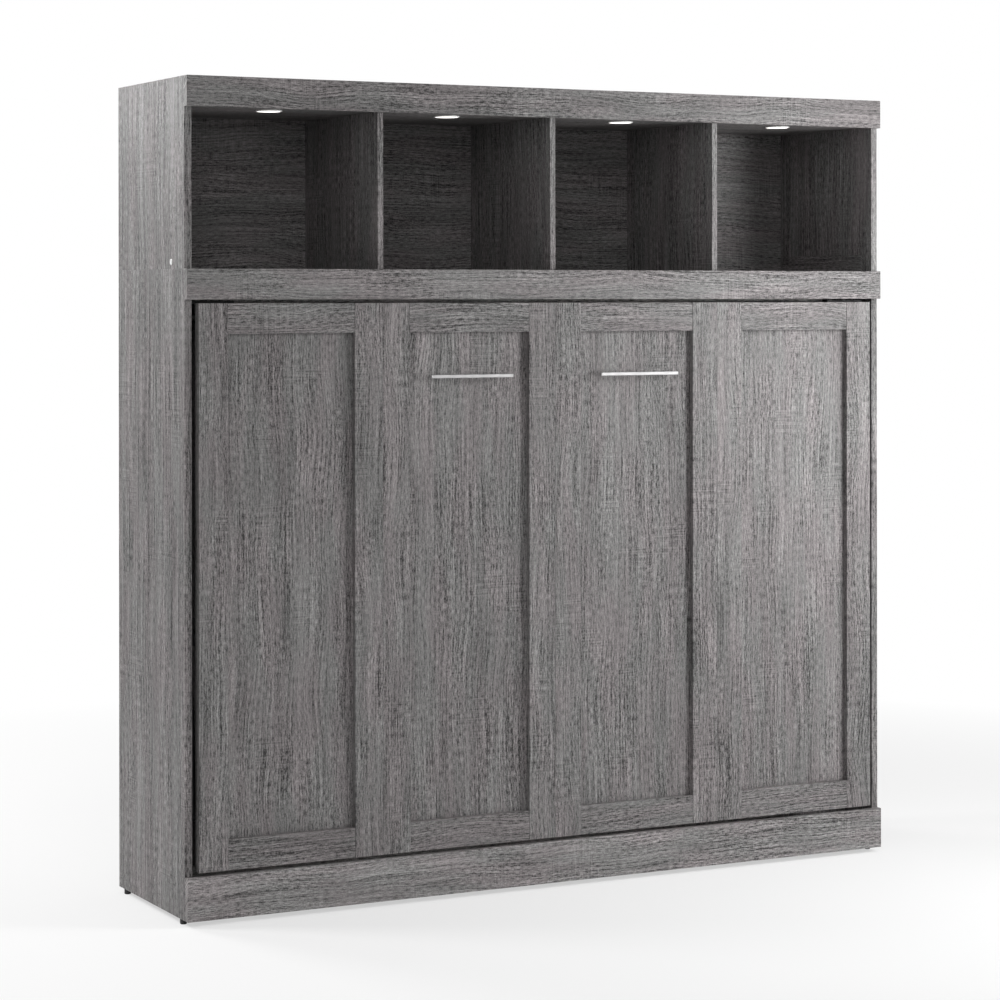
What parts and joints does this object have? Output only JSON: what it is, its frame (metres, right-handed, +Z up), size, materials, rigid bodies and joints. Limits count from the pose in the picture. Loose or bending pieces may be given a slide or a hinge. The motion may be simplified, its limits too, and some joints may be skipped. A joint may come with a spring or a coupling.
{
  "type": "wall bed",
  "caption": "Horizontal wall bed: shaker-fronted bed that tilts down from a low cabinet on gas struts and fold-out legs, under a lit open hutch.",
  "frame": {"origin": "on the floor, at the middle of the overall width and of the overall depth including the handles", "axes": "+X to the right as seen from the front, -Y out of the front, +Z up"},
  "size_m": [2.087, 0.505, 2.1155],
  "materials": {
    "grey_oak_laminate": "matte dark grey oak-grain laminate with fine linear pores and cross-hatched saw marks",
    "slat_wood": "clear-lacquered birch plywood",
    "black_steel": "black powder coat",
    "bright_bar": "satin nickel",
    "zinc_steel": "zinc plated",
    "rod_chrome": "polished",
    "black_plastic": "moulded, fine texture",
    "white_plastic": "moulded",
    "lamp_diffuser": "frosted diffuser, lit",
    "black_rubber": "matte",
    "bush_bronze": "oil-filled bronze",
    "mattress_ticking": "quilted knit ticking with piped edges",
    "strap_webbing": "woven elastic webbing"
  },
  "bodies": {
    "cabinet": {"base_rail": "grey_oak_laminate", "base_rail_batten": "grey_oak_laminate", "bed_stops": "black_rubber", "belt_batten": "grey_oak_laminate", "belt_rail": "grey_oak_laminate", "cabinet_side_left": "grey_oak_laminate", "cabinet_side_right": "grey_oak_laminate", "cabinet_top_panel": "grey_oak_laminate", "connector_bolts": "zinc_steel", "hutch_back_panel": "grey_oak_laminate", "hutch_cleat_left": "grey_oak_laminate", "hutch_cleat_right": "grey_oak_laminate", "hutch_divider_1": "grey_oak_laminate", "hutch_divider_2": "grey_oak_laminate", "hutch_divider_3": "grey_oak_laminate", "hutch_side_left": "grey_oak_laminate", "hutch_side_right": "grey_oak_laminate", "hutch_soffit": "grey_oak_laminate", "hutch_top_panel": "grey_oak_laminate", "led_puck_housings": "white_plastic", "led_puck_lenses": "lamp_diffuser", "levelling_glides": "black_plastic", "lower_back_rail": "grey_oak_laminate", "panel_screws": "zinc_steel", "pivot_pins": "zinc_steel", "pivot_plates": "black_steel", "strut_base_studs": "zinc_steel", "top_fascia": "grey_oak_laminate", "upper_wall_rail": "grey_oak_laminate"},
    "bed": {"bed_bottom_rail": "grey_oak_laminate", "bed_top_rail": "grey_oak_laminate", "bed_end_rail_left": "grey_oak_laminate", "bed_end_rail_right": "grey_oak_laminate", "centre_beam": "grey_oak_laminate", "slat_ledgers": "grey_oak_laminate", "slats": "slat_wood", "mattress": "mattress_ticking", "mattress_straps": "strap_webbing", "strap_plates": "zinc_steel", "pivot_bushes": "bush_bronze", "leg_brackets": "black_steel", "leg_pins": "zinc_steel", "strut_top_studs": "black_steel", "face_stiles": "grey_oak_laminate", "face_rails": "grey_oak_laminate", "handle_screws": "zinc_steel", "handle_left": "bright_bar", "handle_right": "bright_bar", "face_field_1": "grey_oak_laminate", "face_field_2": "grey_oak_laminate", "face_field_3": "grey_oak_laminate", "face_field_4": "grey_oak_laminate"},
    "left_leg": {"leg_left": "black_steel", "leg_foot_left": "black_rubber"},
    "left_strut_tube": {"strut_cylinder_left": "black_steel"},
    "left_strut_rod": {"strut_rod_left": "rod_chrome"},
    "right_leg": {"leg_right": "black_steel", "leg_foot_right": "black_rubber"},
    "right_strut_tube": {"strut_cylinder_right": "black_steel"},
    "right_strut_rod": {"strut_rod_right": "rod_chrome"}
  },
  "joints": [
    {"name": "bed_tilt", "type": "hinge", "parent": "cabinet", "child": "bed", "pos_m": [0, -0.1385, 0.3035], "axis": [1, 0, 0], "range_deg": [0, 90]},
    {"name": "left_leg_fold", "type": "hinge", "parent": "bed", "child": "left_leg", "pos_m": [-1.0145, -0.1675, 1.5135], "axis": [1, 0, 0], "range_deg": [-90, 0]},
    {"name": "left_strut_swing", "type": "hinge", "parent": "cabinet", "child": "left_strut_tube", "pos_m": [-1.0055, -0.1795, 0.2625], "axis": [1, 0, 0], "range_deg": [0, 90]},
    {"name": "left_strut_stroke", "type": "slide", "parent": "left_strut_tube", "child": "left_strut_rod", "axis": [0, 0.0455, 0.999], "range_m": [-0.083, 0]},
    {"name": "right_leg_fold", "type": "hinge", "parent": "bed", "child": "right_leg", "pos_m": [1.0145, -0.1675, 1.5135], "axis": [1, 0, 0], "range_deg": [-90, 0]},
    {"name": "right_strut_swing", "type": "hinge", "parent": "cabinet", "child": "right_strut_tube", "pos_m": [1.0055, -0.1795, 0.2625], "axis": [1, 0, 0], "range_deg": [0, 90]},
    {"name": "right_strut_stroke", "type": "slide", "parent": "right_strut_tube", "child": "right_strut_rod", "axis": [0, 0.0455, 0.999], "range_m": [-0.083, 0]}
  ],
  "couplings": [
    {"joint": "left_leg_fold", "follows": "bed_tilt", "ratio": -1},
    {"joint": "left_strut_swing", "follows": "bed_tilt", "ratio": 0.99374},
    {"joint": "left_strut_stroke", "follows": "bed_tilt", "m_per_rad": -0.052137},
    {"joint": "right_leg_fold", "follows": "bed_tilt", "ratio": -1},
    {"joint": "right_strut_swing", "follows": "bed_tilt", "ratio": 0.99374},
    {"joint": "right_strut_stroke", "follows": "bed_tilt", "m_per_rad": -0.052137}
  ]
}
